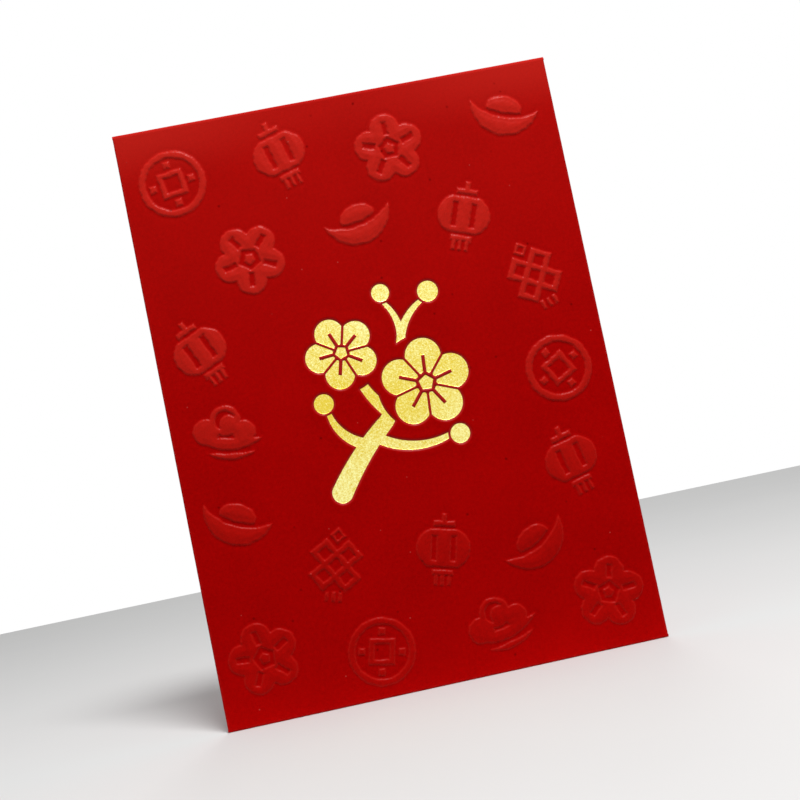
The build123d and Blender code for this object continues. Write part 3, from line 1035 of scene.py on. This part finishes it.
@dataclass
class StampedFoil(CutSheet):
    """A skin of foil on the floor of its hollow, whose rim turns up along the wall."""

    skin: float = 0.01
    rim_width: float = 0.07
    rim_rise: float = 0.025
    shortest: float = 0.04
    wall_slope: float = 0.5

    def _shape_rims(self, shape: bmesh.types.BMesh) -> None:
        """Thins the foil to a skin and turns its rim up, instead of rounding it off.

        Args:
            shape: The piece's mesh.
        """
        front, floor = node_box(self.node)[0][1], node_box(self.node)[1][1]
        bmesh.ops.dissolve_degenerate(shape, dist=self.shortest * MM, edges=shape.edges[:])
        tops = [face for face in shape.faces if abs(face.calc_center_median().y / MM - front) < ON_LEVEL]
        bmesh.ops.inset_region(shape, faces=tops, thickness=self.rim_width * MM, use_even_offset=True,
                               use_boundary=True)
        shape.normal_update()
        walls = [face for face in shape.faces if abs(face.normal.y) < self.wall_slope]
        edge = {vertex for face in walls for vertex in face.verts}
        for vertex in shape.verts:
            if abs(vertex.co.y / MM - front) < ON_LEVEL:
                vertex.co.y = (floor - self.skin - (self.rim_rise if vertex in edge else 0.0)) * MM


@dataclass
class FoilSprig:
    """The gold foil: a sprig of two blossoms, a branch and buds."""

    front: PressedFront
    nodes: tuple[str, ...] = ("foil_large_blossom", "foil_small_blossom", "foil_branch", "foil_buds")
    cell: float = 0.8

    def bend(self, across: np.ndarray, up: np.ndarray) -> np.ndarray:
        """The foil follows the sheet under it."""
        return -self.front.sway(across, up)

    def build(self) -> list[bpy.types.Object]:
        """Makes each piece of foil."""
        return [
            StampedFoil(f"stamped_{node}", node, "pocket", "gold_foil", FOIL, cell=self.cell,
                        bend=self.bend).build()
            for node in self.nodes
        ]


@dataclass
class PocketBack:
    """What is behind the front: the back panel, the glue tabs, the seams and three folds."""

    slack: float = 0.03
    slack_wave: tuple[float, float] = (52.0, 1.7)
    still_foot: tuple[float, float] = (0.6, 14.0)
    tab_line: float = 29.15
    tab_ghost: float = 0.05
    tab_blur: float = 0.8
    glue_radius: float = 0.02

    def bend(self, across: np.ndarray, up: np.ndarray) -> np.ndarray:
        """The back panel's slight waves, and the tabs showing through it.

        Args:
            across: Places across the panel, in millimetres.
            up: Places up it.

        Returns:
            The bend at each place, in millimetres.
        """
        still = eased(up, *self.still_foot)
        tab_edge = (self.tab_line - self.tab_blur, self.tab_line + self.tab_blur)
        ghost = self.tab_ghost * eased(np.abs(across), *tab_edge)
        return still * (self.slack * ripple(across, up, *self.slack_wave) + ghost - self.tab_ghost)

    def build(self) -> list[bpy.types.Object]:
        """Makes the pieces of the pocket.

        Returns:
            The new objects.
        """
        fold_top = node_box("bottom_fold")[1][2]
        made = [
            CutSheet("back_sheet", "back_panel", "pocket", "red_paper", PAPER, joined=((2, fold_top),),
                     bend=self.bend).build(),
            EdgeFold("lower_crease", "bottom_fold", "pocket", "red_paper", PAPER,
                     side=FoldSide.BOTTOM).build(),
        ]
        for side, name in ((FoldSide.LEFT, "left"), (FoldSide.RIGHT, "right")):
            crease = node_box(f"{name}_side_fold")[1 if side is FoldSide.LEFT else 0][0]
            made += [
                CutSheet(f"{name}_glue_tab", f"{name}_side_tab", "pocket", "red_paper", PAPER,
                         joined=((0, crease),)).build(),
                EdgeFold(f"{name}_crease", f"{name}_side_fold", "pocket", "red_paper", PAPER,
                         side=side).build(),
                CutSheet(f"{name}_glue_line", f"{name}_seam_glue", "pocket", "dried_glue", GLUE,
                         edge_radius=self.glue_radius).build(),
            ]
        return made


@dataclass
class ClosureFlap:
    """The flap, its strip of gum and the crease that it hinges on."""

    spring: float = 0.45
    wave: float = 0.05
    flap_wave: tuple[float, float] = (60.0, 2.6)
    root_play: float = 0.02
    crease_unevenness: float = 0.03
    gum_radius: float = 0.02

    def bend(self, across: np.ndarray, up: np.ndarray) -> np.ndarray:
        """The flap springs open a little towards its free edge.

        Args:
            across: Places across the flap, in millimetres.
            up: Places up it.

        Returns:
            The bend at each place, in millimetres.
        """
        low, high = node_box("closure_flap")
        share = (high[2] - up) / (high[2] - low[2])
        return share**2 * (self.spring + self.wave * ripple(across, up, *self.flap_wave))

    def build(self) -> list[bpy.types.Object]:
        """Makes the flap's pieces.

        Returns:
            The new objects.
        """
        crease_foot = node_box("top_fold")[0][2]
        crease = EdgeFold("upper_crease", "top_fold", "pocket", "red_paper", PAPER, side=FoldSide.TOP,
                          unevenness=self.crease_unevenness).build(rides=False)
        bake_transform(crease)
        return [
            crease,
            CutSheet("flap_sheet", "closure_flap", "flap", "red_paper", PAPER,
                     joined=((2, crease_foot),), play=self.root_play, bend=self.bend).build(),
            CutSheet("gum_strip", "closure_gum", "flap", "dried_glue", GLUE,
                     edge_radius=self.gum_radius, bend=self.bend).build(),
        ]


# Surroundings
@dataclass
class Studio:
    """A plain pale floor, soft light and the camera."""

    camera_at: Point = (-13.56, -228.57, 41.82)
    camera_aim: Point = (1.44, 0.59, 54.53)
    camera_roll: float = -11.685
    lens: float = 54.0
    nearest: float = 5.0
    lamp_aim: Point = (0.0, 0.0, 60.0)
    floor_half_width: float = 420.0
    floor_front: float = -520.0
    floor_back: float = 400.0
    lamps: tuple[tuple[str, Point, float, float], ...] = (
        ("soft_key", (90.0, -280.0, 540.0), 180.0, 3.3),
        ("rear_fill", (200.0, 1400.0, 260.0), 600.0, 10.0),
        ("ceiling", (0.0, 120.0, 1200.0), 1400.0, 0.8),
    )
    ambient: float = 0.33

    def camera(self) -> None:
        """Stands the camera where the photograph was taken from."""
        data = bpy.data.cameras.new("camera")
        data.lens = self.lens
        data.clip_start = self.nearest * MM
        made = bpy.data.objects.new("camera", data)
        made.location = Vector(self.camera_at) * MM
        ahead = Vector(self.camera_aim) - Vector(self.camera_at)
        turn = ahead.to_track_quat("-Z", "Y") @ Quaternion((0, 0, 1), math.radians(self.camera_roll))
        made.rotation_euler = turn.to_euler()
        bpy.context.scene.collection.objects.link(made)
        bpy.context.scene.camera = made

    def floor(self) -> None:
        """Lays the floor under the envelope."""
        side, front, back = self.floor_half_width, self.floor_front, self.floor_back
        corners = ((-side, front), (side, front), (side, back), (-side, back))
        mesh = bpy.data.meshes.new("floor")
        mesh.from_pydata([(x * MM, y * MM, 0.0) for x, y in corners], [], [(0, 1, 2, 3)])
        mesh.materials.append(PaleFloor().material())
        made = bpy.data.objects.new("floor", mesh)
        bpy.context.scene.collection.objects.link(made)

    def lamp(self, name: str, at: Point, size: float, power: float) -> None:
        """Hangs one soft round lamp that points at the envelope.

        Args:
            name: The lamp's name.
            at: Its place, in millimetres.
            size: Its width, in millimetres.
            power: Its power, in watts.
        """
        data = bpy.data.lights.new(name, "AREA")
        data.shape = "DISK"
        data.size = size * MM
        data.energy = power
        made = bpy.data.objects.new(name, data)
        made.location = Vector(at) * MM
        ahead = Vector(self.lamp_aim) - Vector(at)
        made.rotation_euler = ahead.to_track_quat("-Z", "Y").to_euler()
        made.visible_camera = False
        bpy.context.scene.collection.objects.link(made)

    def room(self) -> None:
        """A white background that lights the envelope at a plain level."""
        world = bpy.data.worlds.new("white_room")
        bpy.context.scene.world = world
        graph = Graph(world)
        level = self.ambient + graph.seen() * (1.0 - self.ambient)
        white = {"Color": (1.0, 1.0, 1.0, 1.0), "Strength": level}
        back = graph.node("ShaderNodeBackground", sockets=white)
        graph.node("ShaderNodeOutputWorld", sockets={"Surface": back})
        bpy.context.scene.view_settings.view_transform = "Standard"

    def build(self) -> None:
        """Sets up all that isn't part of the envelope."""
        self.camera()
        self.floor()
        for lamp in self.lamps:
            self.lamp(*lamp)
        self.room()


def main() -> None:
    """Builds the envelope and its surroundings."""
    logging.basicConfig(level=logging.INFO, format="%(name)s %(message)s")
    Studio().build()
    front = PressedFront()
    front.build()
    FoilSprig(front).build()
    PocketBack().build()
    ClosureFlap().build()


if __name__ == "__main__":
    main()
